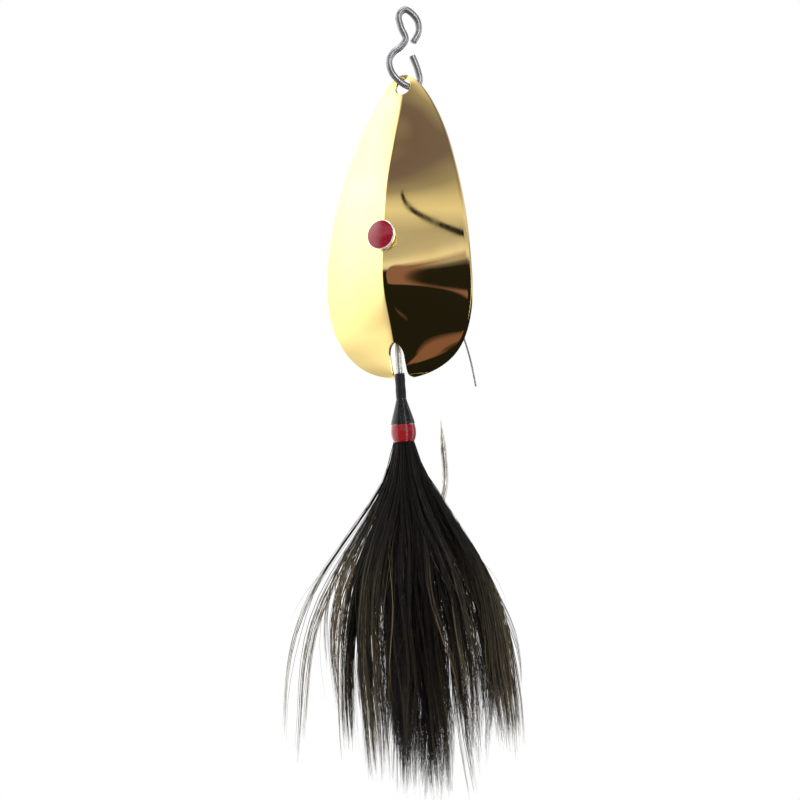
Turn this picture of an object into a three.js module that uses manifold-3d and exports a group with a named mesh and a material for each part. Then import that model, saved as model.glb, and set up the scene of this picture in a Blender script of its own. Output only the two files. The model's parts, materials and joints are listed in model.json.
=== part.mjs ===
// Inline spinner spoon: a keeled gold blade hung on an open wire link, with a riveted long-shank hook,
// a sprung wire weed guard, thread bindings and a bucktail tied round the shank.
// Millimetres, +Z up. The origin is the seat of the line at the top of the link's upper eye.
// The blade's convex keel faces -Y, and the hook's point stands behind it on the +Y side.
import * as THREE from 'three';
import { mergeVertices } from 'three/addons/utils/BufferGeometryUtils.js';
import Module from 'manifold-3d';

const wasm = await Module();
wasm.setup();

// Link
const linkWireRadius = 0.82;
const linkTurn = THREE.MathUtils.degToRad(50);
const linkBearingZ = -17.45;

// The hanging pieces are drawn with the blade's top and tail upright, then swung on the link by this
// angle so that their centre of mass hangs below it
const hangAngle = THREE.MathUtils.degToRad(2.0);

// Blade, measured down from its top tip
const bladeTopZ = -15.15;
const bladeLength = 76.1;
const bladeHalfWidth = 19.5;
const bladeWidestDown = 54.3;
const sheet = 0.95;
const creaseRadius = 0.8;
const linkHoleRadius = 2.1;
const linkHoleZ = -18.3;
const slotHalfWidth = 2.0;
const slotTopZ = -83.6;
const slotShoulder = 3.2;

// Rivet, along Y through the keel
const rivetZ = -58.6;
const rivetHeadRadius = 3.6;
const rivetFaceY = -11.35;
const rivetSeatY = -9.95;
const rivetPostRadius = 1.3;
const rivetHoleRadius = 1.5;
const rivetTailY = -2.0;
const cupRim = 0.4;
const cupDepth = 0.9;

// Hook, in its own frame: eye at the origin, shank down, bend towards +Y
const hookEyeY = -5.95;
const hookLean = THREE.MathUtils.degToRad(7.8);
const hookWireRadius = 0.75;
const hookEyeRadius = 2.4;
const shankLength = 55.1;
const bendRadius = 10.4;
const pointRise = 12.6;
const pointLength = 6.5;

// Weed guard
const guardWireRadius = 0.25;
const guardLoopRadius = 1.95;
const guardLoopY = -3.75;

// Bindings and hair, measured down the shank from the hook's eye
const bindingBore = 0.92;
const wrapStart = 32.4;
const headStart = 38.5;
const bandStart = 44.7;
const hairStart = 49.0;
const bandRadius = 3.0;
const wrapRadius = 1.15;
const buttsRadius = 1.6;
const bindingGap = 0.15;
const lockSteps = 9;

const spinner = new THREE.Group();
spinner.name = 'inline_spinner';

const finish = {
  steelWire: { color: 0x8f9194, roughness: 0.4, metalness: 0.95 },
  gold: { color: 0xd9a441, roughness: 0.14, metalness: 1.0 },
  nickel: { color: 0xc9c8c4, roughness: 0.22, metalness: 1.0 },
  redEnamel: { color: 0xa3121a, roughness: 0.25, metalness: 0.0 },
  tinned: { color: 0xb9b7b0, roughness: 0.35, metalness: 1.0 },
  springWire: { color: 0x9a9b9c, roughness: 0.3, metalness: 1.0 },
  blackThread: { color: 0x101012, roughness: 0.5, metalness: 0.0 },
  blackLacquer: { color: 0x0b0b0d, roughness: 0.3, metalness: 0.0 },
  redThread: { color: 0xb3161c, roughness: 0.3, metalness: 0.0 },
  hair: { color: 0x1b140f, roughness: 0.75, metalness: 0.0 },
};

function addPiece(group, name, geometry, look) {
  const mesh = new THREE.Mesh(geometry, new THREE.MeshStandardMaterial(look));
  mesh.name = name;
  group.add(mesh);
  return mesh;
}

function toSolid(geometry) {
  const bare = geometry.clone();
  bare.deleteAttribute('normal');
  bare.deleteAttribute('uv');
  const merged = mergeVertices(bare, 1e-4);
  const vertProperties = new Float32Array(merged.attributes.position.array);
  const triVerts = new Uint32Array(merged.index.array);
  return new wasm.Manifold(new wasm.Mesh({ numProp: 3, vertProperties, triVerts }));
}

function toGeometry(solid) {
  const mesh = solid.getMesh();
  const geometry = new THREE.BufferGeometry();
  geometry.setAttribute('position', new THREE.BufferAttribute(new Float32Array(mesh.vertProperties), 3));
  geometry.setIndex(new THREE.BufferAttribute(new Uint32Array(mesh.triVerts), 1));
  geometry.computeVertexNormals();
  return geometry;
}

function joined(...geometries) {
  return toGeometry(geometries.map(toSolid).reduce((whole, next) => whole.add(next)));
}

function cut(geometry, ...cutters) {
  return toGeometry(cutters.map(toSolid).reduce((whole, next) => whole.subtract(next), toSolid(geometry)));
}

// A round wire swept along a curve, closed at both ends
function wireAlong(curve, radius, sides, steps) {
  const section = new THREE.Shape();
  section.absarc(0, 0, radius, 0, 2 * Math.PI, false);
  const options = { steps, curveSegments: sides / 2, bevelEnabled: false, extrudePath: curve };
  return new THREE.ExtrudeGeometry(section, options);
}

function smoothCurve(points) {
  return new THREE.CatmullRomCurve3(points.map((p) => new THREE.Vector3(...p)), false, 'centripetal');
}

// A piece turned about the Y axis: each point is [radius, y]
function turnedAboutY(profile, sides = 32) {
  const points = profile.map(([radius, y]) => new THREE.Vector2(radius, y));
  return new THREE.LatheGeometry(points, sides);
}

// A ring or solid turned about the Z axis: each point is [radius, z], listed from the lowest z up
function turnedAboutZ(profile, sides = 24) {
  return turnedAboutY(profile, sides).rotateX(Math.PI / 2);
}

// A closed solid skinned over stations that all have the same number of points
function skinned(stations) {
  const sides = stations[0].length;
  const positions = stations.flat().flatMap((p) => [p.x, p.y, p.z]);
  const faces = [];
  for (let s = 0; s < stations.length - 1; s += 1) {
    for (let k = 0; k < sides; k += 1) {
      const a = s * sides + k;
      const b = s * sides + ((k + 1) % sides);
      faces.push(a, b + sides, b, a, a + sides, b + sides);
    }
  }
  const last = (stations.length - 1) * sides;
  for (let k = 1; k < sides - 1; k += 1) {
    faces.push(0, k, k + 1);
    faces.push(last, last + k + 1, last + k);
  }
  const geometry = new THREE.BufferGeometry();
  geometry.setAttribute('position', new THREE.Float32BufferAttribute(positions, 3));
  geometry.setIndex(faces);
  geometry.computeVertexNormals();
  return geometry;
}

// ---- Link: one wire bent into an upper eye and a lower loop, both cut ends on the same side ----
function linkGeometry() {
  const bends = [
    [2.65, -6.2], [3.95, -3.2], [3.4, -0.1], [0.4, 1.95], [-1.35, 0.2], [-0.75, -2.8], [0.55, -5.7],
    [-0.7, -8.0], [-2.6, -9.8], [-3.7, -12.2], [-2.8, -15.2], [0.0, -17.5], [2.6, -18.0],
    [4.4, -16.4], [3.9, -13.4], [2.4, -9.9],
  ];
  const curve = smoothCurve(bends.map(([along, z]) => [
    along * Math.cos(linkTurn), along * Math.sin(linkTurn), z,
  ]));
  return wireAlong(curve, linkWireRadius, 12, 84);
}

// ---- Blade ----
const upperEdge = new THREE.CubicBezierCurve(
  new THREE.Vector2(0, 0),
  new THREE.Vector2(6.9, 0),
  new THREE.Vector2(bladeHalfWidth, bladeWidestDown - 26.4),
  new THREE.Vector2(bladeHalfWidth, bladeWidestDown),
);
const lowerEdge = new THREE.CubicBezierCurve(
  new THREE.Vector2(bladeHalfWidth, bladeWidestDown),
  new THREE.Vector2(bladeHalfWidth, bladeWidestDown + 17.1),
  new THREE.Vector2(8.8, bladeLength),
  new THREE.Vector2(0, bladeLength),
);

// How far the keel and the edges stand from the Y = 0 plane, by distance down the blade
const keelLine = new THREE.SplineCurve([
  [0, 0.6], [9.2, -1.3], [19, -4.7], [30.5, -8.2], [43, -9.75], [55, -9.95], [66, -5.7], [76.1, -1.9],
].map(([down, y]) => new THREE.Vector2(down, y)));
const edgeLine = new THREE.SplineCurve([
  [0, 0.4], [15, -0.6], [27, -2.0], [46, -2.8], [61, -1.4], [71, 0.8], [76.1, 0.9],
].map(([down, y]) => new THREE.Vector2(down, y)));

function readLine(line, down) {
  let low = 0;
  let high = 1;
  for (let k = 0; k < 30; k += 1) {
    const middle = (low + high) / 2;
    if (line.getPoint(middle).x < down) low = middle;
    else high = middle;
  }
  return line.getPoint((low + high) / 2).y;
}

// The blade's front surface at a share of the half-width, -1 to 1, and its back one sheet behind
function bladeSection(halfWidth, down, columns) {
  const keel = readLine(keelLine, down);
  const edge = readLine(edgeLine, down);
  const rise = Math.hypot(halfWidth, creaseRadius) - creaseRadius;
  const front = [];
  for (let k = 0; k <= columns; k += 1) {
    const share = (2 * k) / columns - 1;
    const x = halfWidth * Math.sign(share) * Math.abs(share) ** 1.5;
    const lift = (Math.hypot(x, creaseRadius) - creaseRadius) / rise;
    front.push(new THREE.Vector3(x, keel + (edge - keel) * lift, bladeTopZ - down));
  }
  const back = front.map((p) => new THREE.Vector3(p.x, p.y + sheet, p.z)).reverse();
  return [...front, ...back];
}

function bladeBlank() {
  const stations = [];
  const addFrom = (curve, from, to, steps) => {
    for (let k = 0; k < steps; k += 1) {
      const point = curve.getPoint(from + ((to - from) * k) / steps);
      stations.push(bladeSection(point.x, point.y, 16));
    }
  };
  addFrom(upperEdge, 0.02, 1, 16);
  addFrom(lowerEdge, 0, 0.98, 12);
  stations.push(bladeSection(lowerEdge.getPoint(0.98).x, lowerEdge.getPoint(0.98).y, 16));
  return skinned(stations);
}

function pinAlongY(radius, x, z, sides = 28) {
  return new THREE.CylinderGeometry(radius, radius, 60, sides).translate(x, 0, z);
}

// The tail slot is a pointed arch, open at the bottom, that the hook's shank stands in
function slotCutter() {
  const arch = new THREE.Shape();
  const shoulderZ = slotTopZ - slotShoulder;
  const openZ = bladeTopZ - bladeLength - 4;
  arch.moveTo(-slotHalfWidth, openZ);
  arch.lineTo(slotHalfWidth, openZ);
  arch.lineTo(slotHalfWidth, shoulderZ);
  arch.quadraticCurveTo(slotHalfWidth, slotTopZ - 0.8, 0, slotTopZ);
  arch.quadraticCurveTo(-slotHalfWidth, slotTopZ - 0.8, -slotHalfWidth, shoulderZ);
  const options = { depth: 60, bevelEnabled: false, curveSegments: 6 };
  return new THREE.ExtrudeGeometry(arch, options).rotateX(Math.PI / 2).translate(0, 30, 0);
}

function bladeGeometry() {
  const linkHole = pinAlongY(linkHoleRadius, 0, linkHoleZ);
  const rivetHole = pinAlongY(rivetHoleRadius, 0, rivetZ);
  return cut(bladeBlank(), linkHole, rivetHole, slotCutter());
}

// ---- Rivet: a cupped head in front, the post through the keel and a peened tail behind ----
function rivetGeometry() {
  const floorY = rivetFaceY + cupDepth;
  const bore = rivetHeadRadius - cupRim;
  return turnedAboutY([
    [0, floorY], [bore, floorY], [bore, rivetFaceY], [rivetHeadRadius - 0.12, rivetFaceY],
    [rivetHeadRadius, rivetFaceY + 0.15], [rivetHeadRadius, rivetSeatY - 0.7],
    [rivetHeadRadius - 0.7, rivetSeatY], [rivetPostRadius, rivetSeatY], [rivetPostRadius, rivetTailY],
    [2.0, rivetTailY], [1.8, rivetTailY + 0.55], [1.0, rivetTailY + 0.95], [0, rivetTailY + 1.05],
  ]).translate(0, 0, rivetZ);
}

function enamelGeometry() {
  const seat = rivetFaceY + cupDepth - 0.03;
  const radius = rivetHeadRadius - cupRim - 0.04;
  return turnedAboutY([
    [0, rivetFaceY - 0.42], [radius * 0.5, rivetFaceY - 0.33], [radius * 0.8, rivetFaceY - 0.12],
    [radius, rivetFaceY + 0.2], [radius, seat], [0, seat],
  ]).translate(0, 0, rivetZ);
}

// The spacer's coned nose fills the hollow behind the keel so that the hook's eye has a flat to turn on
function spacerGeometry() {
  const bore = rivetPostRadius + 0.12;
  return turnedAboutY([
    [bore, -8.05], [1.55, -8.05], [2.2, -7.7], [2.2, -6.95], [bore, -6.95], [bore, -8.05],
  ], 28).translate(0, 0, rivetZ);
}

function burrGeometry() {
  const bore = rivetPostRadius + 0.08;
  return turnedAboutY([
    [bore, -2.7], [2.55, -2.7], [2.7, -2.55], [2.7, -2.2], [2.55, -2.05], [bore, -2.05], [bore, -2.7],
  ], 28).translate(0, 0, rivetZ);
}

// ---- Hook ----
function hookGeometry() {
  const path = [[0, 0, -guardLoopRadius - 0.3], [0, 0, -28], [0, 0, -shankLength + 4], [0, 0, -shankLength]];
  for (let k = 1; k <= 6; k += 1) {
    const turn = (k * Math.PI) / 6;
    path.push([0, bendRadius * (1 - Math.cos(turn)), -shankLength - bendRadius * Math.sin(turn)]);
  }
  const pointY = 2 * bendRadius - 0.55;
  const taperZ = -shankLength + pointRise - pointLength;
  path.push([0, 2 * bendRadius - 0.1, -shankLength + 3], [0, 2 * bendRadius - 0.25, taperZ]);
  const wire = wireAlong(smoothCurve(path), hookWireRadius, 10, 66);
  const eye = new THREE.TorusGeometry(hookEyeRadius, hookWireRadius, 12, 26).rotateX(Math.PI / 2);
  const spear = new THREE.CylinderGeometry(0.07, hookWireRadius, pointLength, 10).rotateX(Math.PI / 2)
    .translate(0, pointY + 0.28, taperZ + pointLength / 2 - 0.1);
  const barb = new THREE.ConeGeometry(0.5, 3.4, 6).rotateX(-Math.PI / 2 - 0.3)
    .translate(0, pointY - 0.42, taperZ - 0.9);
  return joined(wire, eye, spear, barb);
}

// ---- Weed guard: a loop round the rivet and one fine wire sprung back past the hook's point ----
function guardGeometry() {
  const loop = new THREE.TorusGeometry(guardLoopRadius, guardWireRadius, 8, 24).rotateX(Math.PI / 2)
    .translate(0, guardLoopY, rivetZ);
  const wire = wireAlong(smoothCurve([
    [guardLoopRadius, guardLoopY, rivetZ], [2.25, guardLoopY, rivetZ - 1.7], [2.7, -3.15, rivetZ - 3.5],
    [2.9, -1.0, rivetZ - 4.1], [2.8, 4.0, rivetZ - 3.4], [2.8, 10.3, rivetZ - 3.9],
    [2.9, 18.6, rivetZ - 8.0], [3.2, 26.0, rivetZ - 17.3], [3.6, 29.2, rivetZ - 22.9],
    [4.0, 31.4, rivetZ - 29.3],
  ]), guardWireRadius, 8, 44);
  return joined(loop, wire);
}

// ---- Bindings on the shank: rings turned about it, with their distances down from the eye ----
function wrapGeometry() {
  const lower = headStart - bindingGap;
  return turnedAboutZ([
    [bindingBore, -lower], [wrapRadius, -lower], [wrapRadius, -wrapStart], [bindingBore, -wrapStart],
    [bindingBore, -lower],
  ], 20);
}

function headGeometry() {
  const lower = bandStart - bindingGap;
  const bore = buttsRadius + bindingGap;
  return turnedAboutZ([
    [bore, -lower], [bandRadius - 0.1, -lower], [bandRadius - 0.35, -lower + 1.2], [1.9, -headStart - 1.6],
    [wrapRadius + 0.1, -headStart], [bindingBore, -headStart], [bindingBore, -headStart - 0.9],
    [bore, -headStart - 2.2], [bore, -lower],
  ]);
}

function bandGeometry() {
  const lower = hairStart - bindingGap;
  const bore = buttsRadius + bindingGap;
  return turnedAboutZ([
    [bore, -lower], [bandRadius - 0.65, -lower], [bandRadius - 0.1, -lower + 1.5],
    [bandRadius, -bandStart - 1.6], [bandRadius - 0.15, -bandStart], [bore, -bandStart], [bore, -lower],
  ]);
}

// The cut butts of the hair, bound flat round the shank under the head and band
function buttsGeometry() {
  return turnedAboutZ([
    [bindingBore, -hairStart], [buttsRadius, -hairStart], [buttsRadius, -headStart - 2.6],
    [bindingBore, -headStart - 2.2], [bindingBore, -hairStart],
  ], 20);
}

// ---- Bucktail locks: flattened tapering bundles that flare out from the binding ----
function flare(down) {
  const swell = 1 - Math.exp(-((Math.max(down - 3, 0) / 26) ** 1.7));
  return 2.4 + 0.35 * Math.min(down, 8) + 19.5 * swell + 0.02 * down;
}

function lockGeometry({ angle, length, spread, rootRadius, thickness }) {
  const out = new THREE.Vector3(Math.sin(angle), -Math.cos(angle), 0);
  const across = new THREE.Vector3(Math.cos(angle), Math.sin(angle), 0);
  const stations = [];
  for (let k = 0; k <= lockSteps; k += 1) {
    const share = k / lockSteps;
    const down = length * share ** 1.15;
    const taper = Math.min(1, (1 - share) * 2.2 + 0.16);
    const reach = spread * flare(down);
    const half = THREE.MathUtils.lerp(0.32, thickness, Math.min(1, share * 2.5)) * taper;
    const centre = Math.max(rootRadius, reach - half);
    const width = 0.35 * Math.sqrt(centre ** 2 - half ** 2) * (0.55 + 0.45 * taper);
    const ring = [];
    for (let c = 0; c < 8; c += 1) {
      const turn = (c * Math.PI) / 4;
      const point = out.clone().multiplyScalar(centre + half * Math.cos(turn));
      point.addScaledVector(across, width * Math.sin(turn));
      point.z = -hairStart - 0.1 - down;
      ring.push(point);
    }
    stations.push(ring);
  }
  return skinned(stations);
}

const lockPlan = [
  { name: 'bucktail_front', side: 0, length: 84, spread: 0.96 },
  { name: 'bucktail_front_left', side: -45, length: 80, spread: 1.0 },
  { name: 'bucktail_front_right', side: 45, length: 78, spread: 1.0 },
  { name: 'bucktail_left', side: -90, length: 76, spread: 1.02 },
  { name: 'bucktail_right', side: 90, length: 74, spread: 1.0 },
  { name: 'bucktail_rear_left', side: -135, length: 79, spread: 0.95 },
  { name: 'bucktail_rear_right', side: 135, length: 82, spread: 0.95 },
];
const corePlan = [
  { name: 'bucktail_core_left', side: -60, length: 84, spread: 0.46 },
  { name: 'bucktail_core_right', side: 60, length: 88, spread: 0.46 },
];

function addLocks(group) {
  for (const lock of lockPlan) {
    const angle = THREE.MathUtils.degToRad(lock.side);
    addPiece(group, lock.name, lockGeometry({ ...lock, angle, rootRadius: 2.05, thickness: 2.6 }), finish.hair);
  }
  for (const lock of corePlan) {
    const angle = THREE.MathUtils.degToRad(lock.side);
    addPiece(group, lock.name, lockGeometry({ ...lock, angle, rootRadius: 1.25, thickness: 2.2 }), finish.hair);
  }
}

// ---- Assembly ----
addPiece(spinner, 'line_link', linkGeometry(), finish.steelWire);

const hanging = new THREE.Group();
hanging.position.z = linkBearingZ;
hanging.rotation.x = hangAngle;
spinner.add(hanging);
const lure = new THREE.Group();
lure.position.z = -linkBearingZ;
hanging.add(lure);
addPiece(lure, 'spoon_blade', bladeGeometry(), finish.gold);
addPiece(lure, 'rivet', rivetGeometry(), finish.nickel);
addPiece(lure, 'rivet_enamel', enamelGeometry(), finish.redEnamel);
addPiece(lure, 'rivet_spacer', spacerGeometry(), finish.gold);
addPiece(lure, 'rivet_burr', burrGeometry(), finish.nickel);
addPiece(lure, 'weed_guard', guardGeometry(), finish.springWire);

const hookGroup = new THREE.Group();
hookGroup.position.set(0, hookEyeY, rivetZ);
hookGroup.rotation.x = hookLean;
lure.add(hookGroup);
addPiece(hookGroup, 'hook', hookGeometry(), finish.tinned);
addPiece(hookGroup, 'shank_thread_wrap', wrapGeometry(), finish.blackThread);
addPiece(hookGroup, 'thread_head', headGeometry(), finish.blackLacquer);
addPiece(hookGroup, 'red_thread_band', bandGeometry(), finish.redThread);
addPiece(hookGroup, 'bucktail_butts', buttsGeometry(), finish.hair);
addLocks(hookGroup);

export default spinner;
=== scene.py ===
# %% [markdown]
# A weedless casting spoon with a bucktail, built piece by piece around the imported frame.
# The frame gives the bodies, the joints and the boxes, so every place below starts from a joint or a box.
# Sizes are written in millimetres and turned into metres once, by the value MM.

# %% Load the frame
import math
import random

import bpy
import numpy as np
from mathutils import Matrix, Vector
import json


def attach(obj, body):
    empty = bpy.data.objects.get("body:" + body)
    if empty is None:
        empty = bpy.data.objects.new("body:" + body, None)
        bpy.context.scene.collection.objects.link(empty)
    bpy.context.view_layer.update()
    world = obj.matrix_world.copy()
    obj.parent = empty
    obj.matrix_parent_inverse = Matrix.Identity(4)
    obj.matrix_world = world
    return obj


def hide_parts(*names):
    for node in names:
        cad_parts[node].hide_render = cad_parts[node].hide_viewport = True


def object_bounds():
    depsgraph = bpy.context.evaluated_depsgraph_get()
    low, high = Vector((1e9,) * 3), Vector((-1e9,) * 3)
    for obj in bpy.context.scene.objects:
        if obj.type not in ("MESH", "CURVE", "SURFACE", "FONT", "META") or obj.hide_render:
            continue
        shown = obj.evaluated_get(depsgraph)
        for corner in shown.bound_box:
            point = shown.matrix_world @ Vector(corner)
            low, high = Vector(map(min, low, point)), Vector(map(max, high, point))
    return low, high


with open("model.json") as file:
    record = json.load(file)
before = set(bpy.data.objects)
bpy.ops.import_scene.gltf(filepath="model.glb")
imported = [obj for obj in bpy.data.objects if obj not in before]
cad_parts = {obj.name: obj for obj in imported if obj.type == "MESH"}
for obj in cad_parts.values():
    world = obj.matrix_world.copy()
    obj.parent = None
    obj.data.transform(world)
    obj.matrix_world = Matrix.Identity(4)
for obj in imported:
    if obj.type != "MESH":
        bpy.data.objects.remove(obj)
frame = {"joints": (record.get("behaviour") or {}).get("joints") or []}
cad_low, cad_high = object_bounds()
MM = 0.001
joints = {joint["name"]: joint for joint in frame["joints"]}

# %% [markdown]
# Two frames do all the placing. The lure frame hangs from the link, and the hook frame starts at the
# hook's eye with the shank running straight down. Both angles are read from the joints' own axes.

# %% The lure's frame and the hook's frame
bearing = Vector(joints["blade_swing"]["pos_m"])
eye_centre = Vector(joints["hook_play"]["pos_m"])
rivet_axis = Vector(joints["hook_play"]["axis"])
shank_side = Vector(joints["left_flare"]["axis"])
hang_angle = math.atan2(rivet_axis.z, rivet_axis.y)
lean_angle = math.atan2(shank_side.z, shank_side.y)
lure_frame = Matrix.Translation(bearing) @ Matrix.Rotation(hang_angle, 4, "X") @ Matrix.Translation(-bearing)
hook_frame = Matrix.Translation(eye_centre) @ Matrix.Rotation(lean_angle, 4, "X")
print("hang", round(math.degrees(hang_angle), 2), "lean", round(math.degrees(lean_angle), 2))

# %% [markdown]
# The camera comes first. It looks at the keel from the right and a little below, through a long lens so
# that the blade keeps its proportions. It is turned with the lure, so the lure stands upright in the view.

# %% Camera
view_turn = math.radians(28)
view_rise = math.radians(-12)
view_width = 197.5 * MM
aim_right = -0.93 * MM
aim_up = -94.6 * MM
camera_back = Vector((
    math.sin(view_turn) * math.cos(view_rise),
    -math.cos(view_turn) * math.cos(view_rise),
    math.sin(view_rise),
))
camera_right = Vector((math.cos(view_turn), math.sin(view_turn), 0))
camera_up = camera_back.cross(camera_right)
hang_turn = Matrix.Rotation(hang_angle, 3, "X")
camera_back, camera_right, camera_up = (hang_turn @ v for v in (camera_back, camera_right, camera_up))
camera_data = bpy.data.cameras.new("studio_camera")
camera_data.lens = 120
camera_data.sensor_width = 36
camera = bpy.data.objects.new("studio_camera", camera_data)
bpy.context.scene.collection.objects.link(camera)
aim = camera_right * aim_right + camera_up * aim_up
distance = view_width * camera_data.lens / camera_data.sensor_width
camera.matrix_world = Matrix.Translation(aim + camera_back * distance) @ Matrix((
    camera_right, camera_up, camera_back,
)).transposed().to_4x4()
camera_data.clip_start = 0.01
camera_data.clip_end = 20
bpy.context.scene.camera = camera
print("camera at", [round(v, 3) for v in camera.location])

# %% [markdown]
# The helpers below are the same moves a maker would do by hand: clear the selection, add something, shape
# it, apply its modifiers, and leave the object at the origin with its place in its mesh.


# %% Helpers for making pieces
def clear_selection():
    bpy.ops.object.select_all(action="DESELECT")


def make_active(piece):
    clear_selection()
    piece.select_set(True)
    bpy.context.view_layer.objects.active = piece


def apply_modifier(piece, kind, **settings):
    make_active(piece)
    modifier = piece.modifiers.new(kind.lower(), kind)
    for name, value in settings.items():
        setattr(modifier, name, value)
    bpy.ops.object.modifier_apply(modifier=modifier.name)


def settle(piece, place=None):
    """Puts a piece's place into its mesh, then moves the mesh by a frame."""
    make_active(piece)
    bpy.ops.object.transform_apply(location=True, rotation=True, scale=True)
    if place is not None:
        piece.data.transform(place)
        piece.data.update()


def fix_normals(piece):
    make_active(piece)
    bpy.ops.object.mode_set(mode="EDIT")
    bpy.ops.mesh.select_all(action="SELECT")
    bpy.ops.mesh.remove_doubles(threshold=1e-7)
    bpy.ops.mesh.normals_make_consistent(inside=False)
    bpy.ops.object.mode_set(mode="OBJECT")


def smooth(piece, angle=40):
    make_active(piece)
    bpy.ops.object.shade_smooth_by_angle(angle=math.radians(angle))


def join(main, *others):
    clear_selection()
    for piece in (main, *others):
        piece.select_set(True)
    bpy.context.view_layer.objects.active = main
    bpy.ops.object.join()
    return main


def finish_piece(piece, name, body, material, nodes):
    piece.name = name
    piece.data.name = name
    piece.data.materials.clear()
    piece.data.materials.append(material)
    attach(piece, body)
    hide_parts(*nodes)
    print(name, len(piece.data.polygons), "faces")
    return piece


# %% [markdown]
# Wires are curves with a round bevel. A centripetal curve through a few bends gives the even sweep that
# bent wire has, without the bulges that a plain spline makes between close bends.


# %% Wires
def sweep(points, steps):
    """Places along a centripetal curve through the points, evenly spaced by length."""
    knots = [Vector(p) for p in points]
    first = knots[0] * 2 - knots[1]
    last = knots[-1] * 2 - knots[-2]
    knots = [first, *knots, last]
    fine = []
    for k in range(1, len(knots) - 2):
        a, b, c, d = knots[k - 1:k + 3]
        gaps = [max((q - p).length ** 0.5, 1e-9) for p, q in ((a, b), (b, c), (c, d))]
        lead = ((b - a) / gaps[0] - (c - a) / (gaps[0] + gaps[1]) + (c - b) / gaps[1]) * gaps[1]
        trail = ((c - b) / gaps[1] - (d - b) / (gaps[1] + gaps[2]) + (d - c) / gaps[2]) * gaps[1]
        for s in range(24):
            t = s / 24
            fine.append(
                b * (2 * t ** 3 - 3 * t ** 2 + 1) + lead * (t ** 3 - 2 * t ** 2 + t)
                + c * (-2 * t ** 3 + 3 * t ** 2) + trail * (t ** 3 - t ** 2)
            )
    fine.append(knots[-2])
    rows = np.array([tuple(p) for p in fine])
    run = np.concatenate([[0], np.cumsum(np.linalg.norm(np.diff(rows, axis=0), axis=1))])
    at = np.linspace(0, run[-1], steps + 1)
    return [Vector([float(np.interp(s, run, rows[:, axis])) for axis in range(3)]) for s in at]


def wire(name, points, radius, sides=5, radii=None, closed=False):
    """A round wire along the points, in millimetres, made as a mesh with closed ends."""
    data = bpy.data.curves.new(name, "CURVE")
    data.dimensions = "3D"
    data.bevel_depth = radius * MM
    data.bevel_resolution = sides
    data.use_fill_caps = not closed
    spline = data.splines.new("POLY")
    spline.points.add(len(points) - 1)
    for k, point in enumerate(points):
        spline.points[k].co = (*(Vector(point) * MM), 1)
        spline.points[k].radius = 1 if radii is None else radii[k]
    spline.use_cyclic_u = closed
    piece = bpy.data.objects.new(name, data)
    bpy.context.scene.collection.objects.link(piece)
    make_active(piece)
    bpy.ops.object.convert(target="MESH")
    fix_normals(piece)
    return piece


def ring(name, radius, wire_radius, centre):
    """A closed wire loop whose hole runs along Y."""
    turns = [2 * math.pi * k / 64 for k in range(64)]
    spots = [(centre[0] + radius * math.cos(t), centre[1], centre[2] + radius * math.sin(t)) for t in turns]
    return wire(name, spots, wire_radius, closed=True)


# %% [markdown]
# Turned pieces are an outline of [radius, height] points spun round their axis by the Screw modifier, with
# a small bevel afterwards, as a lathe tool leaves a small round on each edge.


# %% Turned pieces
def turned(name, outline, sides=72, bevel=0.0):
    mesh = bpy.data.meshes.new(name)
    spots = [(radius * MM, 0, height * MM) for radius, height in outline]
    mesh.from_pydata(spots, [(k, k + 1) for k in range(len(spots) - 1)], [])
    piece = bpy.data.objects.new(name, mesh)
    bpy.context.scene.collection.objects.link(piece)
    apply_modifier(
        piece, "SCREW", angle=2 * math.pi, steps=sides, render_steps=sides, use_merge_vertices=True,
        merge_threshold=1e-6, axis="Z", use_normal_calculate=True,
    )
    fix_normals(piece)
    if bevel:
        apply_modifier(piece, "BEVEL", width=bevel * MM, segments=3, limit_method="ANGLE", angle_limit=0.6)
    smooth(piece, 35)
    return piece


def face_front(piece, z):
    """Turns a piece from the Z axis to the rivet's axis, at height z in the lure frame."""
    lying = Matrix.Rotation(-math.pi / 2, 4, "X")
    piece.data.transform(lure_frame @ Matrix.Translation((0, 0, z * MM)) @ lying)
    piece.data.update()


# %% [markdown]
# Finishes. Each one is a small node tree: a colour that wanders, a roughness that wanders, and a fine bump.
# They read Object coordinates in metres, so the scale of a pattern is the scale of the real surface.


# %% Finish helpers
def new_finish(name):
    material = bpy.data.materials.new(name)
    material.use_nodes = True
    nodes = material.node_tree.nodes
    shader = nodes["Principled BSDF"]
    return material, nodes, material.node_tree.links, shader


def noise(nodes, links, scale, detail=3, stretch=(1, 1, 1)):
    place = nodes.new("ShaderNodeTexCoord")
    mapping = nodes.new("ShaderNodeMapping")
    mapping.inputs["Scale"].default_value = stretch
    texture = nodes.new("ShaderNodeTexNoise")
    texture.inputs["Scale"].default_value = scale
    texture.inputs["Detail"].default_value = detail
    links.new(place.outputs["Object"], mapping.inputs["Vector"])
    links.new(mapping.outputs["Vector"], texture.inputs["Vector"])
    return texture.outputs["Fac"]


def ramp(nodes, links, source, stops):
    node = nodes.new("ShaderNodeValToRGB")
    node.color_ramp.elements[0].position = stops[0][0]
    node.color_ramp.elements[0].color = stops[0][1]
    node.color_ramp.elements[1].position = stops[-1][0]
    node.color_ramp.elements[1].color = stops[-1][1]
    for place, colour in stops[1:-1]:
        node.color_ramp.elements.new(place).color = colour
    links.new(source, node.inputs["Fac"])
    return node.outputs["Color"]


def grey(value):
    return (value, value, value, 1)


def bump(nodes, links, shader, source, strength, distance):
    node = nodes.new("ShaderNodeBump")
    node.inputs["Strength"].default_value = strength
    node.inputs["Distance"].default_value = distance
    links.new(source, node.inputs["Height"])
    links.new(node.outputs["Normal"], shader.inputs["Normal"])


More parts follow.
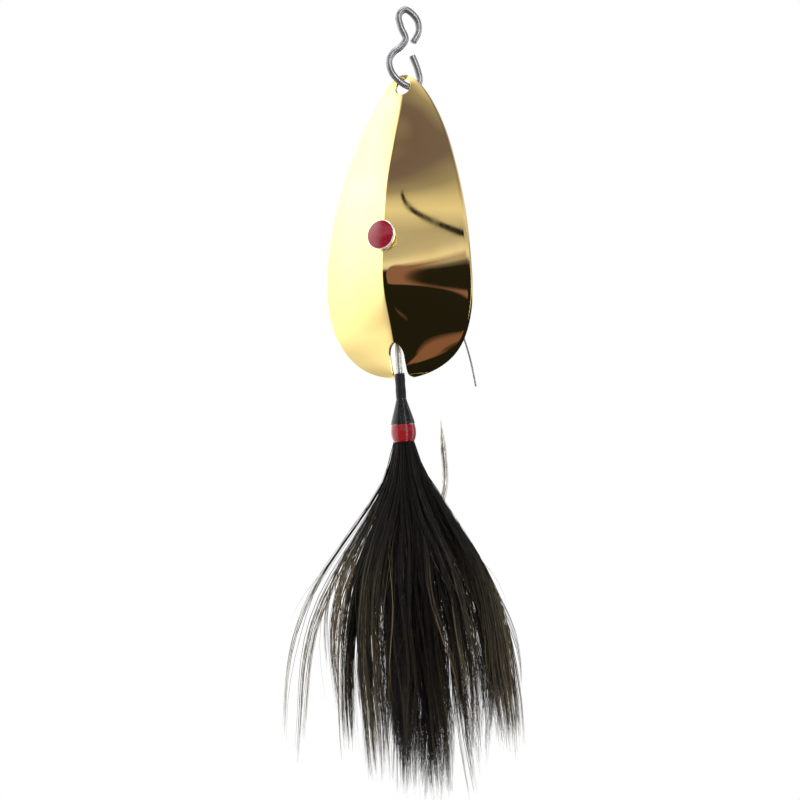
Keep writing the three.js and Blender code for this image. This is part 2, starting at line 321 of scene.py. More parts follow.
def metal(name, low, high, roughness, scale=400, stretch=(1, 1, 1), bump_height=0.0000025, bump_strength=0.15,
          bare=1.0):
    """A metal whose colour and roughness wander between two values; a dull plating is less than bare."""
    material, nodes, links, shader = new_finish(name)
    shader.inputs["Metallic"].default_value = bare
    broad = noise(nodes, links, scale, 4, stretch)
    links.new(ramp(nodes, links, broad, [(0.3, (*low, 1)), (0.7, (*high, 1))]), shader.inputs["Base Color"])
    fine = noise(nodes, links, scale * 5, 3, stretch)
    links.new(ramp(nodes, links, fine, [(0.35, grey(roughness[0])), (0.65, grey(roughness[1]))]),
              shader.inputs["Roughness"])
    bump(nodes, links, shader, fine, bump_strength, bump_height)
    return material


# %% Finishes
link_steel = metal("link_steel", (0.22, 0.22, 0.23), (0.32, 0.32, 0.33), (0.26, 0.38), 500, bare=0.8)
gold_plate = metal("gold_plate", (0.96, 0.72, 0.27), (1.0, 0.79, 0.33), (0.015, 0.04), 60, (1, 1, 0.5),
                   0.000004, 0.08)
nickel = metal("nickel", (0.74, 0.72, 0.68), (0.90, 0.88, 0.84), (0.22, 0.36), 900, bare=0.45)
tinned_steel = metal("tinned_steel", (0.34, 0.33, 0.30), (0.52, 0.51, 0.47), (0.20, 0.36), 800, bare=0.72)
spring_steel = metal("spring_steel", (0.26, 0.26, 0.25), (0.40, 0.40, 0.38), (0.22, 0.36), 1500, bare=0.6)


def coated(name, low, high, roughness, coat, scale=1500):
    """A dyed thread or paint under a clear coat."""
    material, nodes, links, shader = new_finish(name)
    broad = noise(nodes, links, scale, 4)
    links.new(ramp(nodes, links, broad, [(0.3, (*low, 1)), (0.7, (*high, 1))]), shader.inputs["Base Color"])
    fine = noise(nodes, links, scale * 2.5, 3)
    links.new(ramp(nodes, links, fine, [(0.3, grey(roughness - 0.06)), (0.7, grey(roughness + 0.08))]),
              shader.inputs["Roughness"])
    shader.inputs["Coat Weight"].default_value = coat
    shader.inputs["Coat Roughness"].default_value = 0.08
    bump(nodes, links, shader, fine, 0.25, 0.00003)
    return material


red_enamel = coated("red_enamel", (0.13, 0.001, 0.007), (0.21, 0.002, 0.013), 0.22, 0.5, 500)
black_thread = coated("black_thread", (0.004, 0.004, 0.005), (0.011, 0.011, 0.012), 0.45, 0.1)
black_lacquer = coated("black_lacquer", (0.002, 0.002, 0.003), (0.007, 0.007, 0.008), 0.3, 0.5, 900)
red_thread = coated("red_thread", (0.17, 0.001, 0.004), (0.31, 0.003, 0.008), 0.25, 0.9, 1200)
print("finishes:", len(bpy.data.materials))

# %% [markdown]
# The link is one steel wire bent into two loops, with both cut ends on the same side. It is drawn in its
# own plane, as [along, up] bends, and then turned to the angle that the two loops hang at.

# %% Link
link_radius = 0.82
link_turn = math.radians(50)
link_bends = [
    (2.65, -6.2), (3.95, -3.2), (3.4, -0.1), (0.4, 1.95), (-1.35, 0.2), (-0.75, -2.8), (0.55, -5.7),
    (-0.7, -8.0), (-2.6, -9.8), (-3.7, -12.2), (-2.8, -15.2), (0.0, -17.5), (2.6, -18.0),
    (4.4, -16.4), (3.9, -13.4), (2.4, -9.9),
]
link_path = sweep([(a * math.cos(link_turn), a * math.sin(link_turn), z) for a, z in link_bends], 260)
line_link = wire("line_link_wire", link_path, link_radius, sides=8)
apply_modifier(line_link, "BEVEL", width=0.12 * MM, segments=2, limit_method="ANGLE", angle_limit=0.9)
smooth(line_link, 40)
finish_piece(line_link, "line_link_wire", "link", link_steel, ["line_link"])

# %% [markdown]
# The blade is stamped from one sheet. A grid stands for the flat blank, and the stamp is a formula: the
# outline is two Bezier arcs, and the keel and the edges each follow their own curve down the blade, with a
# small crease radius between them. Extruding the stamped face gives the sheet its thickness, Boolean cuts
# the two holes and the tail slot, and a bevel rounds the sheared edges as tumbling does.

# %% Blade shape
blade_top = -15.15
sheet = 0.95
crease = 0.8
link_hole_radius = 2.1
link_hole_z = -18.3
rivet_hole_radius = 1.5
rivet_z = -58.6
slot_half = 2.0
slot_top = -83.6
slot_shoulder = -86.8
below_tail = -96
edge_round = 0.22
upper_arc = np.array([(0, 0), (6.9, 0), (19.5, 27.9), (19.5, 54.3)])
lower_arc = np.array([(19.5, 54.3), (19.5, 71.4), (8.8, 76.1), (0, 76.1)])
keel_knots = [
    (0, 0.6), (9.2, -1.3), (19, -4.7), (30.5, -8.2), (43, -9.75), (55, -9.95), (66, -5.7), (76.1, -1.9),
]
edge_knots = [(0, 0.4), (15, -0.6), (27, -2.0), (46, -2.8), (61, -1.4), (71, 0.8), (76.1, 0.9)]


def on_arc(arc, t):
    weights = np.array([(1 - t) ** 3, 3 * t * (1 - t) ** 2, 3 * t ** 2 * (1 - t), t ** 3])
    return weights @ arc


def uniform_curve(knots, count=400):
    """A uniform curve through the knots, as [down, out] rows to look up."""
    ends = [knots[0], *knots, knots[-1]]
    rows = []
    for k in range(len(knots) - 1):
        a, b, c, d = (np.array(p) for p in ends[k:k + 4])
        for s in np.linspace(0, 1, count // len(knots), endpoint=False):
            rows.append(0.5 * (2 * b + (c - a) * s + (2 * a - 5 * b + 4 * c - d) * s ** 2
                               + (3 * b - a - 3 * c + d) * s ** 3))
    rows.append(np.array(knots[-1]))
    return np.array(rows)


keel_rows = uniform_curve(keel_knots)
edge_rows = uniform_curve(edge_knots)


def stamp(across, along):
    """Where a point of the blank lies after stamping: across is -1 to 1, along 0 at the top to 1."""
    upper_share = 0.62
    if along < upper_share:
        half, down = on_arc(upper_arc, 0.012 + 0.988 * along / upper_share)
    else:
        half, down = on_arc(lower_arc, 0.99 * (along - upper_share) / (1 - upper_share))
    x = half * math.copysign(abs(across) ** 1.25, across)
    rise = math.hypot(half, crease) - crease
    lift = (math.hypot(x, crease) - crease) / rise
    keel = np.interp(down, keel_rows[:, 0], keel_rows[:, 1])
    edge = np.interp(down, edge_rows[:, 0], edge_rows[:, 1])
    return Vector((x, keel + (edge - keel) * lift, blade_top - down)) * MM


# %% Blade
clear_selection()
bpy.ops.mesh.primitive_grid_add(x_subdivisions=64, y_subdivisions=150, size=2)
blade = bpy.context.active_object
for vertex in blade.data.vertices:
    vertex.co = stamp(vertex.co.x, (1 - vertex.co.y) / 2)
bpy.ops.object.mode_set(mode="EDIT")
bpy.ops.mesh.select_all(action="SELECT")
bpy.ops.mesh.extrude_region_move(TRANSFORM_OT_translate={"value": (0, sheet * MM, 0)})
bpy.ops.object.mode_set(mode="OBJECT")
fix_normals(blade)
print("blade blank", [round(v * 1000, 1) for v in blade.dimensions])


def cutter_pin(radius, z, sides=64):
    clear_selection()
    bpy.ops.mesh.primitive_cylinder_add(vertices=sides, radius=radius * MM, depth=60 * MM,
                                        location=(0, 0, z * MM), rotation=(math.pi / 2, 0, 0))
    pin = bpy.context.active_object
    settle(pin)
    return pin


def cutter_arch():
    """The tail slot's pointed arch, as a prism through the blade."""
    side = []
    for k in range(9):
        t = k / 8
        x = (1 - t) ** 2 * slot_half + 2 * t * (1 - t) * slot_half
        z = (1 - t) ** 2 * slot_shoulder + 2 * t * (1 - t) * (slot_top - 0.8) + t ** 2 * slot_top
        side.append((x, z))
    other_side = [(-x, z) for x, z in reversed(side[:-1])]
    outline = [(slot_half, below_tail), *side, *other_side, (-slot_half, below_tail)]
    spots = [(x * MM, y * MM, z * MM) for y in (-30, 30) for x, z in outline]
    n = len(outline)
    faces = [tuple(range(n)), tuple(range(2 * n - 1, n - 1, -1))]
    faces += [(k, k + n, (k + 1) % n + n, (k + 1) % n) for k in range(n)]
    mesh = bpy.data.meshes.new("arch")
    mesh.from_pydata(spots, [], faces)
    arch = bpy.data.objects.new("arch", mesh)
    bpy.context.scene.collection.objects.link(arch)
    fix_normals(arch)
    return arch


cutters = [
    cutter_pin(link_hole_radius, link_hole_z), cutter_pin(rivet_hole_radius, rivet_z), cutter_arch(),
]
for tool in cutters:
    apply_modifier(blade, "BOOLEAN", operation="DIFFERENCE", object=tool, solver="EXACT")
    bpy.data.objects.remove(tool)
    print("cut", len(blade.data.polygons))
apply_modifier(blade, "BEVEL", width=edge_round * MM, segments=3, limit_method="ANGLE",
               angle_limit=math.radians(50), use_clamp_overlap=True)
blade.data.transform(lure_frame)
smooth(blade, 30)
finish_piece(blade, "gold_blade", "blade_body", gold_plate, ["spoon_blade"])

# %% [markdown]
# The rivet is one turned piece: a cup in front that holds the enamel, the post through the keel, and the
# tail peened over the burr behind. Its height runs along the rivet's axis, front face at the low end.

# %% Rivet, enamel, spacer and burr
rivet = turned("rivet_metal", [
    (0, -10.45), (3.15, -10.45), (3.2, -11.27), (3.28, -11.35), (3.5, -11.35), (3.6, -11.23), (3.6, -10.6),
    (3.45, -10.2), (2.9, -9.95), (1.3, -9.95), (1.3, -2.0), (2.0, -2.0), (1.85, -1.55), (1.5, -1.2),
    (1.0, -1.03), (0, -0.95),
], bevel=0.05)
face_front(rivet, rivet_z)
finish_piece(rivet, "rivet_metal", "blade_body", nickel, ["rivet"])

enamel = turned("enamel_disc", [
    (0, -11.92), (1.0, -11.89), (1.9, -11.80), (2.7, -11.64), (3.2, -11.48), (3.42, -11.40), (3.44, -11.37),
    (3.14, -11.36), (3.14, -10.49), (0, -10.49),
])
face_front(enamel, rivet_z)
finish_piece(enamel, "enamel_disc", "blade_body", red_enamel, ["rivet_enamel"])

spacer = turned("spacer_cone", [
    (1.42, -8.05), (1.55, -8.05), (2.2, -7.7), (2.2, -6.95), (1.42, -6.95), (1.42, -8.05),
], bevel=0.06)
face_front(spacer, rivet_z)
finish_piece(spacer, "spacer_cone", "blade_body", gold_plate, ["rivet_spacer"])

burr = turned("burr_washer", [
    (1.38, -2.7), (2.55, -2.7), (2.7, -2.55), (2.7, -2.2), (2.55, -2.05), (1.38, -2.05), (1.38, -2.7),
], bevel=0.04)
face_front(burr, rivet_z)
finish_piece(burr, "burr_washer", "blade_body", nickel, ["rivet_burr"])

# %% [markdown]
# The hook is one tinned wire: a closed eye round the rivet, a long shank, a round bend and a point drawn
# down to nothing, with a barb cut from the inner side. The curve's radius gives the taper.

# %% Hook
shank_length = 55.1
bend_radius = 10.4
hook_wire = 0.75
hook_eye_radius = 2.4
point_rise = 12.6
point_length = 6.5
point_drawn = 6.4
point_taper = -shank_length + point_rise - point_length
hook_bends = [(0, 0, -2.3), (0, 0, -28), (0, 0, -52.4), (0, 0, -shank_length)]
for k in range(1, 13):
    turn = k * math.pi / 12
    hook_bends.append((0, bend_radius * (1 - math.cos(turn)), -shank_length - bend_radius * math.sin(turn)))
hook_bends += [
    (0, 20.7, -shank_length + 3), (0, 20.55, point_taper), (0, 20.4, point_taper + 3.4),
    (0, 20.3, point_taper + point_drawn),
]
hook_path = sweep(hook_bends, 240)


def point_thickness(place):
    """The wire's share of its full radius: all of it round the bend, and down to almost none at the tip."""
    on_point_side = place.y > 15
    drawn = (point_taper + point_drawn - place.z) / point_drawn
    return min(1.0, max(0.06, drawn)) if on_point_side else 1.0


taper_radii = [point_thickness(place) for place in hook_path]
hook = wire("hook_wire", hook_path, hook_wire, sides=8, radii=taper_radii)
eye_ring = ring("hook_eye", hook_eye_radius, hook_wire, (0, 0, 0))
clear_selection()
bpy.ops.mesh.primitive_cone_add(vertices=16, radius1=0.52 * MM, depth=3.4 * MM)
barb = bpy.context.active_object
barb.data.transform(Matrix.Diagonal((0.55, 1, 1, 1)))
barb.data.transform(Matrix.Translation((0, 19.85 * MM, (point_taper - 0.9) * MM))
                    @ Matrix.Rotation(math.pi - 0.3, 4, "X"))
join(hook, eye_ring, barb)
hook.data.transform(hook_frame)
smooth(hook, 40)
finish_piece(hook, "hook_wire", "hook_body", tinned_steel, ["hook"])

# %% [markdown]
# The weed guard is a fine spring wire. It loops round the rivet behind the hook's eye, leaves on one side,
# arches back over the hook and ends free, outside the point.

# %% Weed guard
guard_wire = 0.25
guard_loop_radius = 1.95
guard_loop_y = -3.75
guard_path = sweep([
    (guard_loop_radius, guard_loop_y, rivet_z), (2.25, guard_loop_y, rivet_z - 1.7),
    (2.7, -3.15, rivet_z - 3.5), (2.9, -1.0, rivet_z - 4.1),
    (2.8, 4.0, rivet_z - 3.4), (2.8, 10.3, rivet_z - 3.9),
    (2.9, 18.6, rivet_z - 8.0), (3.2, 26.0, rivet_z - 17.3), (3.6, 29.2, rivet_z - 22.9),
    (4.0, 31.4, rivet_z - 29.3),
], 160)
guard = wire("guard_wire", guard_path, guard_wire, sides=4)
join(guard, ring("guard_loop", guard_loop_radius, guard_wire, (0, guard_loop_y, rivet_z)))
guard.data.transform(lure_frame)
smooth(guard, 60)
finish_piece(guard, "guard_wire", "guard_body", spring_steel, ["weed_guard"])

# %% [markdown]
# The bindings are real thread: a plain core is turned first, and a thread is then wound round it as one
# long helix that follows the core's outline. Its coils give the fine ribbing and the broken highlights.


# %% Wound thread
def wound(name, outline, pitch, thread, sides=3, turn_points=28):
    """A helix of thread over an outline of [radius, distance down the shank] points."""
    radii = [radius for radius, down in outline]
    downs = [down for radius, down in outline]
    turns = (downs[-1] - downs[0]) / pitch
    count = int(turns * turn_points)
    spots = []
    for k in range(count + 1):
        angle = 2 * math.pi * k / turn_points
        down = downs[0] + (downs[-1] - downs[0]) * k / count
        radius = float(np.interp(down, downs, radii)) + thread * 0.4
        spots.append((radius * math.cos(angle), radius * math.sin(angle), -down))
    piece = wire(name, spots, thread, sides=sides)
    smooth(piece, 60)
    return piece


def bound(name, outline, bore, pitch, thread):
    """A binding: its turned core and the thread wound over it, as one piece in the hook's frame."""
    shell = [(radius, -down) for radius, down in reversed(outline)]
    core = turned(name, [(bore, shell[0][1]), *shell, (bore, shell[-1][1]), (bore, shell[0][1])], sides=96)
    coil = wound(name + "_coil", outline, pitch, thread)
    join(core, coil)
    core.data.transform(hook_frame)
    return core


# %% Bindings
wrap = bound("black_shank_wrap", [
    (1.02, 32.4), (1.10, 33.7), (1.04, 35.1), (1.12, 36.6), (1.08, 38.35),
], bore=0.92, pitch=0.24, thread=0.11)
finish_piece(wrap, "black_shank_wrap", "hook_body", black_thread, ["shank_thread_wrap"])

head = bound("black_head", [
    (1.12, 38.45), (1.4, 39.5), (1.85, 41.0), (2.3, 42.5), (2.65, 43.7), (2.8, 44.55),
], bore=0.95, pitch=0.17, thread=0.075)
finish_piece(head, "black_head", "hook_body", black_lacquer, ["thread_head"])

band = bound("red_band", [
    (2.72, 44.75), (2.88, 45.6), (2.94, 46.4), (2.88, 47.3), (2.64, 48.1), (2.28, 48.85),
], bore=1.75, pitch=0.2, thread=0.09)
finish_piece(band, "red_band", "hook_body", red_thread, ["red_thread_band"])

# %% [markdown]
# The bucktail is drawn hair by hair. A lock is a few tresses, a tress is many wisps, and a wisp is a few
# hairs that start apart and close on each other towards the tip, as real tail hair does. About one hair
# in twelve strays. A hair is a curve with a four-sided bevel and a tapering radius, so it costs few faces.


# %% Hair finish
def hair_finish(name, root, middle, tip):
    """Dark hair that browns towards the tips, with each strand's tone read from its attribute; the tone is
    partly the strands' real variety and partly painted sheen and painted shade.
    """
    material, nodes, links, shader = new_finish(name)
    along = nodes.new("ShaderNodeAttribute")
    along.attribute_name = "along"
    tone = nodes.new("ShaderNodeAttribute")
    tone.attribute_name = "tone"
    showing = nodes.new("ShaderNodeMath")
    showing.operation = "MULTIPLY_ADD"
    showing.use_clamp = True
    showing.inputs[1].default_value = 1.7
    showing.inputs[2].default_value = 0.35
    links.new(along.outputs["Fac"], showing.inputs[0])
    tone_sheen_and_shade_shown = nodes.new("ShaderNodeMath")
    tone_sheen_and_shade_shown.operation = "MULTIPLY"
    links.new(tone.outputs["Fac"], tone_sheen_and_shade_shown.inputs[0])
    links.new(showing.outputs[0], tone_sheen_and_shade_shown.inputs[1])
    shift = nodes.new("ShaderNodeMath")
    shift.operation = "MULTIPLY_ADD"
    shift.inputs[1].default_value = 0.36
    links.new(along.outputs["Fac"], shift.inputs[0])
    links.new(tone_sheen_and_shade_shown.outputs[0], shift.inputs[2])
    colours = ramp(nodes, links, shift.outputs[0], [
        (0.30, (*root, 1)), (0.52, (*root, 1)), (0.80, (*middle, 1)), (1.0, (*tip, 1)),
    ])
    links.new(colours, shader.inputs["Base Color"])
    fine = noise(nodes, links, 900, 2, (1, 1, 0.05))
    links.new(ramp(nodes, links, fine, [(0.3, grey(0.55)), (0.7, grey(0.8))]), shader.inputs["Roughness"])
    shader.inputs["Specular IOR Level"].default_value = 0.3
    return material


dark_hair = hair_finish("dark_hair", (0.006, 0.005, 0.004), (0.056, 0.044, 0.022), (0.18, 0.137, 0.070))

# %% Hair
hair_start = 49.0
hair_points = 15
wisp_hairs = 6
drawn_hairs = 11
hair_reach = 88
bound_reach = 2.2
loose_spread = 3
strays = 0.085
rng = random.Random(41)


def flare(down):
    """How far the tail's outside stands from the shank, by distance below the band."""
    swell = 1 - math.exp(-((max(down - 6, 0) / 24) ** 1.8))
    return bound_reach + 0.22 * min(down, 12) + 22 * swell


def hair_path(tress, loose):
    """One hair of a tress, in the hook's frame: the tress's own path, with the hair's looseness added."""
    angle, share, length, spread, phase, curl = tress
    flyaway = 6.5 * max(0, share - 0.8) / 0.3 if spread > loose_spread else 0
    out, across, out_drift, across_drift, off_length, off_phase, off_curl = loose
    spots = []
    for k in range(hair_points):
        t = k / (hair_points - 1)
        down = length * off_length * t
        body = spread * (0.2 + 0.8 * min(1, 2.0 * t)) * (1 - 0.22 * t * t)
        root = 0.7 + min(share, 1) * 1.2
        own_reach = (out + out_drift * t) * body
        reach = root + share * (flare(down) - bound_reach) * (1 - 0.10 * t ** 3) + own_reach
        reach += flyaway * t ** 4
        reach += 0.7 * curl * t * math.sin(1.7 * phase + 5.5 * t)
        side = (across + across_drift * t) * body + curl * t * math.sin(phase + 7.0 * t)
        side += off_curl * min(1, 3 * t) * math.sin(off_phase + 12.0 * t)
        x = reach * math.sin(angle) + side * math.cos(angle)
        y = -reach * math.cos(angle) + side * math.sin(angle)
        spots.append((x, y, -hair_start + 0.6 - down))
    return spots


def wisp_place():
    """A wisp's place in its tress: out, across, the drift of both, length, and its wave's phase and size."""
    return (rng.gauss(0, 0.50), rng.gauss(0, 0.50), rng.gauss(0, 0.42), rng.gauss(0, 0.70),
            rng.triangular(0.74, 1.0, 0.97), rng.uniform(0, 6.3), rng.gauss(0, 0.62))


def hair_place(wisp):
    """A hair close to its wisp and closing on it towards the tip, or else a stray with its own place."""
    if rng.random() < strays:
        return (rng.uniform(-1.4, 0.7), rng.gauss(0, 0.8), rng.gauss(0, 0.6), rng.gauss(0, 1.1),
                rng.uniform(0.5, 1.0), rng.uniform(0, 6.3), rng.gauss(0, 1.0))
    out, across, out_drift, across_drift, length, phase, curl = wisp
    own_out, own_across = rng.gauss(0, 0.22), rng.gauss(0, 0.22)
    return (out + own_out, across + own_across, out_drift - 0.7 * own_out, across_drift - 0.7 * own_across,
            length * rng.triangular(0.88, 1.02, 1.0), phase + rng.gauss(0, 0.3), curl + rng.gauss(0, 0.12))


def lock_of_hair(name, side, tresses, hair_radius=0.062):
    """Hair for one lock, from its tresses' rows of turn, share, length, spread, hairs and tone."""
    data = bpy.data.curves.new(name, "CURVE")
    data.dimensions = "3D"
    data.bevel_depth = hair_radius * MM
    data.bevel_resolution = 0
    data.use_fill_caps = True
    tones = []
    for turn, share, length, spread, hairs, tress_tone in tresses:
        tress = (math.radians(side + turn), share, length, spread, rng.uniform(0, 6.3), rng.uniform(0.8, 2.4))
        for h in range(hairs // wisp_hairs * drawn_hairs):
            if h % drawn_hairs == 0:
                wisp = wisp_place()
                wisp_tone = tress_tone + rng.gauss(0, 0.17)
            spline = data.splines.new("POLY")
            spline.points.add(hair_points - 1)
            rows = np.ones((hair_points, 4))
            rows[:, :3] = np.array(hair_path(tress, hair_place(wisp))) * MM
            spline.points.foreach_set("co", rows.ravel())
            thick = rng.uniform(0.7, 1.25)
            taper = [thick * min(1, 1.15 - (k / (hair_points - 1)) ** 3) for k in range(hair_points)]
            taper[-1] = 0.15
            spline.points.foreach_set("radius", taper)
            tones.append(min(1, max(0, wisp_tone + rng.gauss(0, 0.10))))
    piece = bpy.data.objects.new(name, data)
    bpy.context.scene.collection.objects.link(piece)
    make_active(piece)
    bpy.ops.object.convert(target="MESH")
    mesh = piece.data
    per_hair = len(mesh.vertices) // len(tones)
    tone = np.repeat(np.array(tones, dtype=np.float32), per_hair)
    rows = np.empty(len(mesh.vertices) * 3, dtype=np.float32)
    mesh.vertices.foreach_get("co", rows)
    downs = -rows[2::3].reshape(len(tones), per_hair)
    along = (downs - hair_start * MM) / (hair_reach * MM)
    # The tone attribute carries each strand's real variety together with the painted sheen and painted shade
    # set per tress.
    mesh.attributes.new("tone", "FLOAT", "POINT").data.foreach_set("value", tone)
    mesh.attributes.new("along", "FLOAT", "POINT").data.foreach_set("value", along.ravel())
    mesh.polygons.foreach_set("use_smooth", [True] * len(mesh.polygons))
    mesh.transform(hook_frame)
    return piece


# Each lock's angle and its tresses: turn from that angle, share of the flare, length, spread, hairs, tone
# The tone column is partly the hairs' real variety and partly painted light: the sparse outer wisps, most of
# all on the lit left side, get the brownest tones as a painted sheen, and the core locks are kept near black
# as painted shade.
locks = {
    "front": (0, [(-8, 0.74, 82, 2.6, 120, 0.5), (14, 0.50, 76, 2.2, 90, 0.36),
                  (0, 0.26, 84, 2.2, 130, 0.2)]),
    "front_left": (-45, [(-4, 0.66, 75, 2.2, 110, 0.36), (10, 0.55, 81, 2.0, 120, 0.28),
                         (-14, 0.88, 66, 2.6, 30, 0.7)]),
    "front_right": (45, [(0, 0.50, 85, 2.5, 150, 0.26), (18, 0.78, 79, 2.4, 110, 0.42),
                         (-12, 0.26, 86, 2.4, 150, 0.16)]),
    "left": (-90, [(8, 1.10, 80, 3.1, 18, 0.74), (-4, 0.88, 66, 3.1, 36, 0.7),
                   (-10, 0.42, 77, 2.2, 100, 0.36)]),
    "right": (90, [(0, 0.86, 75, 2.5, 170, 0.48), (-14, 0.56, 85, 1.6, 60, 0.4),
                   (14, 0.76, 68, 2.8, 160, 0.5)]),
    "rear_left": (-135, [(0, 0.52, 75, 2.3, 90, 0.44), (14, 0.30, 80, 2.4, 120, 0.26),
                         (-14, 0.86, 64, 2.4, 26, 0.68)]),
    "rear_right": (135, [(-8, 0.84, 76, 2.7, 180, 0.44), (10, 0.72, 76, 2.4, 130, 0.5),
                         (0, 0.38, 72, 2.4, 140, 0.22)]),
    "core_left": (-60, [(-20, 0.14, 84, 2.2, 180, 0.08), (15, 0.08, 79, 2.0, 170, 0.06)]),
    "core_right": (60, [(10, 0.20, 86, 2.5, 200, 0.08), (-25, 0.10, 84, 2.3, 170, 0.06)]),
}
for place, (side, tresses) in locks.items():
    lock = lock_of_hair("hair_" + place, side, tresses)
    finish_piece(lock, "hair_" + place, "lock_" + place, dark_hair, ["bucktail_" + place])

# %% [markdown]
# The butts of the hair show as a dark plug under the band.

# %% Butts
butts = turned("hair_butts", [(0.92, -49.2), (1.6, -49.2), (1.6, -41.2), (0.92, -40.8), (0.92, -49.2)])
butts.data.transform(hook_frame)
finish_piece(butts, "hair_butts", "hook_body", dark_hair, ["bucktail_butts"])

# %% [markdown]
# The studio: a pale floor well below the hanging lure, a white surround, soft lamps, and a world whose
# bright and dark parts give the polished blade something to reflect.

# %% Studio
clear_selection()
floor_gap = 0.16
bpy.ops.mesh.primitive_plane_add(size=6, location=(0, 0, cad_low.z - floor_gap))
floor = bpy.context.active_object
floor.name = "studio_floor"
floor_paint, floor_nodes, floor_links, floor_shader = new_finish("floor_paint")
floor_shader.inputs["Base Color"].default_value = grey(0.85)
floor_shader.inputs["Roughness"].default_value = 0.9
floor.data.materials.append(floor_paint)


def lamp(name, place, size, power, colour=(1, 1, 1)):
    data = bpy.data.lights.new(name, "AREA")
    data.shape = "RECTANGLE"
    data.size, data.size_y = size
    data.energy = power
    data.color = colour
    body = bpy.data.objects.new(name, data)
    bpy.context.scene.collection.objects.link(body)
    body.location = place
    middle = (cad_low + cad_high) / 2
    body.rotation_euler = (Vector(place) - middle).to_track_quat("Z", "Y").to_euler()
    return body


left_softbox = lamp("left_softbox", (-1.3, -0.5, 0.35), (1.3, 1.4), 19)
front_fill = lamp("front_fill", (0.5, -1.5, 0.4), (0.9, 0.7), 9)
lamp("top_softbox", (0.1, -0.2, 1.3), (1.0, 0.7), 10)
lamp("right_strip", (1.25, -0.75, 0.25), (0.35, 1.2), 8)
lamp("back_rim", (1.1, 0.9, 0.1), (0.5, 1.0), 5)
for body in (left_softbox, front_fill):
    body.visible_glossy = False
floor.visible_glossy = False

# %% [markdown]
# The world is what the polished pieces reflect, and it is drawn by direction. A big white softbox stands
# on the left, brightest high up. The right and the front are a gold-brown room, pale at eye level, with
# one dark cable across it, a dark floor below, and two warm patches low in front.


# %% World
world = bpy.data.worlds.new("studio_world")
bpy.context.scene.world = world
world.use_nodes = True
sky_nodes, sky_links = world.node_tree.nodes, world.node_tree.links
backdrop = sky_nodes["Background"]
sky_place = sky_nodes.new("ShaderNodeTexCoord")
sky_split = sky_nodes.new("ShaderNodeSeparateXYZ")
sky_links.new(sky_place.outputs["Generated"], sky_split.inputs["Vector"])


def sky_math(operation, first, second=None, third=None, clamp=False):
    node = sky_nodes.new("ShaderNodeMath")
    node.operation = operation
    node.use_clamp = clamp
    for socket, value in zip(node.inputs, (first, second, third)):
        if isinstance(value, (int, float)):
            socket.default_value = value
        elif value is not None:
            sky_links.new(value, socket)
    return node.outputs["Value"]


def sky_mix(share, first, second):
    node = sky_nodes.new("ShaderNodeMix")
    node.data_type = "RGBA"
    sky_links.new(share, node.inputs["Factor"])
    for socket, value in ((node.inputs["A"], first), (node.inputs["B"], second)):
        if isinstance(value, tuple):
            socket.default_value = value
        else:
            sky_links.new(value, socket)
    return node.outputs["Result"]


def warm_patch(centre, spread, softness):
    """1 inside a round patch of the sky about a direction, falling to 0 outside it."""
    gap = sky_nodes.new("ShaderNodeVectorMath")
    gap.operation = "DISTANCE"
    sky_links.new(sky_wander, gap.inputs[0])
    gap.inputs[1].default_value = centre
    return sky_math("MULTIPLY_ADD", gap.outputs["Value"], -1 / softness, spread / softness, clamp=True)


sky_noise = sky_nodes.new("ShaderNodeTexNoise")
sky_noise.inputs["Scale"].default_value = 7.0
sky_noise.inputs["Detail"].default_value = 3.0
sky_links.new(sky_place.outputs["Generated"], sky_noise.inputs["Vector"])
sky_push = sky_nodes.new("ShaderNodeVectorMath")
sky_push.operation = "MULTIPLY_ADD"
sky_links.new(sky_noise.outputs["Color"], sky_push.inputs[0])
sky_push.inputs[1].default_value = (0.16, 0.16, 0.16)
sky_links.new(sky_place.outputs["Generated"], sky_push.inputs[2])
sky_shift = sky_nodes.new("ShaderNodeVectorMath")
sky_shift.operation = "SUBTRACT"
sky_links.new(sky_push.outputs["Vector"], sky_shift.inputs[0])
sky_shift.inputs[1].default_value = (0.08, 0.08, 0.08)
sky_wander = sky_shift.outputs["Vector"]

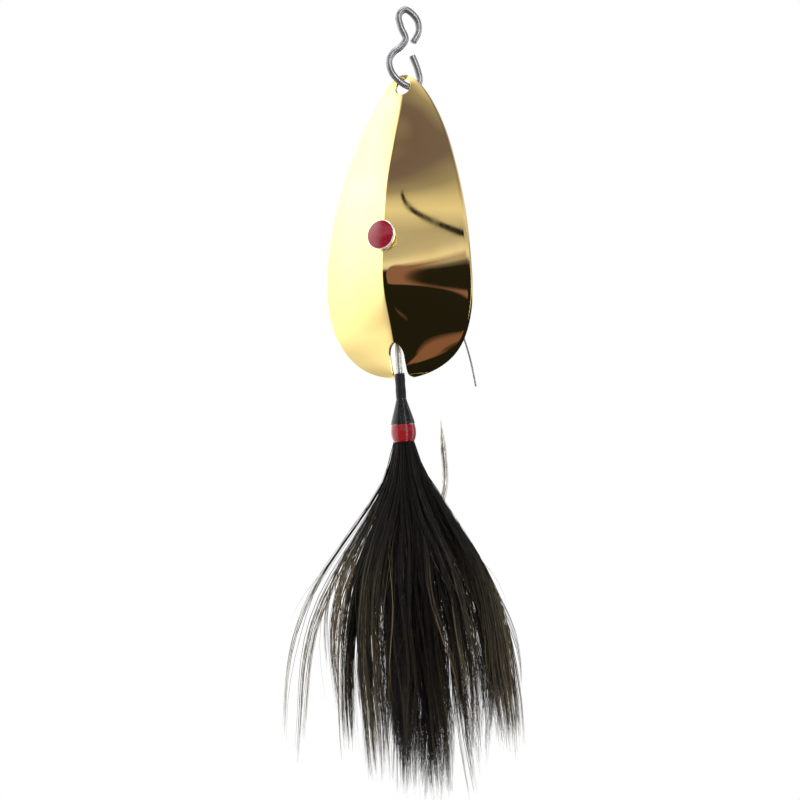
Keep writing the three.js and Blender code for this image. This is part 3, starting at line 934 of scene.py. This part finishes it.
height = sky_math("MULTIPLY_ADD", sky_split.outputs["Z"], 0.5, 0.5)
left_side = ramp(sky_nodes, sky_links, height, [
    (0.0, grey(0.12)), (0.28, grey(0.24)), (0.325, grey(0.30)), (0.37, grey(0.43)), (0.44, grey(0.52)),
    (0.52, grey(0.56)), (0.60, grey(0.62)), (0.68, grey(0.72)), (0.74, grey(0.84)), (0.80, grey(0.78)),
    (0.86, grey(0.62)), (1.0, grey(0.4)),
])
room = ramp(sky_nodes, sky_links, height, [
    (0.0, (0.004, 0.004, 0.003, 1)), (0.558, (0.005, 0.005, 0.004, 1)), (0.574, (0.05, 0.045, 0.05, 1)),
    (0.594, (0.24, 0.24, 0.26, 1)), (0.62, (0.28, 0.27, 0.29, 1)), (0.65, (0.19, 0.185, 0.20, 1)),
    (0.68, (0.155, 0.15, 0.16, 1)), (0.72, (0.27, 0.26, 0.25, 1)), (0.742, (0.22, 0.21, 0.20, 1)),
    (0.77, (0.11, 0.105, 0.11, 1)), (0.80, (0.082, 0.075, 0.085, 1)), (0.83, (0.058, 0.048, 0.065, 1)),
    (0.87, (0.055, 0.045, 0.06, 1)), (1.0, (0.16, 0.15, 0.16, 1)),
])

cable_lean = 2.6
cable_place = 0.981
cable_dark = (0.005, 0.005, 0.004, 1)
cable_line = sky_math("MULTIPLY_ADD", sky_split.outputs["X"], cable_lean, sky_split.outputs["Z"])
cable_gap = sky_math("ABSOLUTE", sky_math("SUBTRACT", cable_line, cable_place))
cable = sky_math("MULTIPLY_ADD", cable_gap, -200, 2.0, clamp=True)
below_cable_end = sky_math("MULTIPLY_ADD", sky_split.outputs["Z"], -25, 13.9, clamp=True)
room = sky_mix(sky_math("MULTIPLY", cable, below_cable_end), room, cable_dark)

upper_centre = (0.265, -0.955, 0.02)
lower_centre = (0.140, -0.80, -0.575)
upper_warm = (0.085, 0.045, 0.045, 1)
lower_warm = (0.075, 0.038, 0.035, 1)
patch_side = sky_math("MULTIPLY_ADD", sky_split.outputs["X"], -90, 27.0, clamp=True)
upper_patch = sky_math("MULTIPLY", warm_patch(upper_centre, 0.19, 0.03), patch_side)
room = sky_mix(upper_patch, room, upper_warm)
room = sky_mix(warm_patch(lower_centre, 0.07, 0.02), room, lower_warm)

world_strength = 3.0
leftness = sky_math("MULTIPLY_ADD", sky_split.outputs["X"], -5.0, -1.9, clamp=True)
heights = sky_mix(leftness, room, left_side)
sky_links.new(heights, backdrop.inputs["Color"])
backdrop.inputs["Strength"].default_value = world_strength
white = sky_nodes.new("ShaderNodeBackground")
white.inputs["Color"].default_value = grey(1.0)
white.inputs["Strength"].default_value = 1.0
path_kind = sky_nodes.new("ShaderNodeLightPath")
blend = sky_nodes.new("ShaderNodeMixShader")
sky_links.new(path_kind.outputs["Is Camera Ray"], blend.inputs["Fac"])
sky_links.new(backdrop.outputs["Background"], blend.inputs[1])
sky_links.new(white.outputs["Background"], blend.inputs[2])
sky_links.new(blend.outputs["Shader"], sky_nodes["World Output"].inputs["Surface"])
bpy.context.scene.view_settings.view_transform = "Standard"
bpy.context.scene.view_settings.look = "None"

# %% Finish
import json
